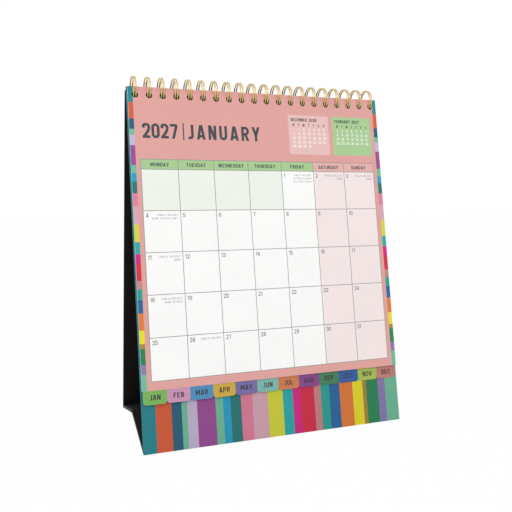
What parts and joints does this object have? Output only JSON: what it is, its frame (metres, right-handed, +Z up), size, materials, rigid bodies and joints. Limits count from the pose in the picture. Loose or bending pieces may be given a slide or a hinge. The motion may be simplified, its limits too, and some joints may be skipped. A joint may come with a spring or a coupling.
{
  "type": "desk calendar",
  "caption": "Upright folding card easel with tabbed month leaves bound along the top by a gold twin-loop wire; the leaves turn over the ridge and the easel folds for storage.",
  "frame": {"origin": "on the table under the middle of the easel", "axes": "X to the viewer's right along the wire, Y to the back, Z up; the dated face leans back and looks along -Y"},
  "size_m": [0.1706, 0.0867, 0.2213],
  "materials": {
    "board": "matt black card",
    "striped_print": "matt printed paper, upright stripes",
    "floor_card": "matt black card",
    "wire": "bright gold-coloured wire",
    "leaf_jan": "matt printed paper",
    "leaf_feb": "matt printed paper",
    "leaf_mar": "matt printed paper",
    "leaf_apr": "matt printed paper",
    "leaf_may": "matt printed paper",
    "leaf_jun": "matt printed paper",
    "leaf_jul": "matt printed paper",
    "leaf_aug": "matt printed paper",
    "leaf_sep": "matt printed paper",
    "leaf_oct": "matt printed paper",
    "leaf_nov": "matt printed paper",
    "leaf_dec": "matt printed paper"
  },
  "bodies": {
    "front_easel": {"front_board": "board", "front_print": "striped_print", "floor_card": "floor_card", "binding_wire": "wire"},
    "back_leg": {"back_board": "board"},
    "leaf_jan": {"page_jan": "leaf_jan"},
    "leaf_feb": {"page_feb": "leaf_feb"},
    "leaf_mar": {"page_mar": "leaf_mar"},
    "leaf_apr": {"page_apr": "leaf_apr"},
    "leaf_may": {"page_may": "leaf_may"},
    "leaf_jun": {"page_jun": "leaf_jun"},
    "leaf_jul": {"page_jul": "leaf_jul"},
    "leaf_aug": {"page_aug": "leaf_aug"},
    "leaf_sep": {"page_sep": "leaf_sep"},
    "leaf_oct": {"page_oct": "leaf_oct"},
    "leaf_nov": {"page_nov": "leaf_nov"},
    "leaf_dec": {"page_dec": "leaf_dec"}
  },
  "joints": [
    {"name": "easel_fold", "type": "hinge", "parent": "front_easel", "child": "back_leg", "pos_m": [0, 0.001, 0.21341], "axis": [1, 0, 0], "range_deg": [-20, 0], "deforming": ["floor_card"]},
    {"name": "turn_jan", "type": "hinge", "parent": "leaf_feb", "child": "leaf_jan", "pos_m": [0, 0.001, 0.21341], "axis": [-1, 0, 0], "range_deg": [0, 130]},
    {"name": "turn_feb", "type": "hinge", "parent": "leaf_mar", "child": "leaf_feb", "pos_m": [0, 0.001, 0.21341], "axis": [-1, 0, 0], "range_deg": [0, 8]},
    {"name": "turn_mar", "type": "hinge", "parent": "leaf_apr", "child": "leaf_mar", "pos_m": [0, 0.001, 0.21341], "axis": [-1, 0, 0], "range_deg": [0, 8]},
    {"name": "turn_apr", "type": "hinge", "parent": "leaf_may", "child": "leaf_apr", "pos_m": [0, 0.001, 0.21341], "axis": [-1, 0, 0], "range_deg": [0, 8]},
    {"name": "turn_may", "type": "hinge", "parent": "leaf_jun", "child": "leaf_may", "pos_m": [0, 0.001, 0.21341], "axis": [-1, 0, 0], "range_deg": [0, 8]},
    {"name": "turn_jun", "type": "hinge", "parent": "leaf_jul", "child": "leaf_jun", "pos_m": [0, 0.001, 0.21341], "axis": [-1, 0, 0], "range_deg": [0, 8]},
    {"name": "turn_jul", "type": "hinge", "parent": "leaf_aug", "child": "leaf_jul", "pos_m": [0, 0.001, 0.21341], "axis": [-1, 0, 0], "range_deg": [0, 8]},
    {"name": "turn_aug", "type": "hinge", "parent": "leaf_sep", "child": "leaf_aug", "pos_m": [0, 0.001, 0.21341], "axis": [-1, 0, 0], "range_deg": [0, 8]},
    {"name": "turn_sep", "type": "hinge", "parent": "leaf_oct", "child": "leaf_sep", "pos_m": [0, 0.001, 0.21341], "axis": [-1, 0, 0], "range_deg": [0, 8]},
    {"name": "turn_oct", "type": "hinge", "parent": "leaf_nov", "child": "leaf_oct", "pos_m": [0, 0.001, 0.21341], "axis": [-1, 0, 0], "range_deg": [0, 8]},
    {"name": "turn_nov", "type": "hinge", "parent": "leaf_dec", "child": "leaf_nov", "pos_m": [0, 0.001, 0.21341], "axis": [-1, 0, 0], "range_deg": [0, 8]},
    {"name": "turn_dec", "type": "hinge", "parent": "front_easel", "child": "leaf_dec", "pos_m": [0, 0.001, 0.21341], "axis": [-1, 0, 0], "range_deg": [0, 8]}
  ]
}
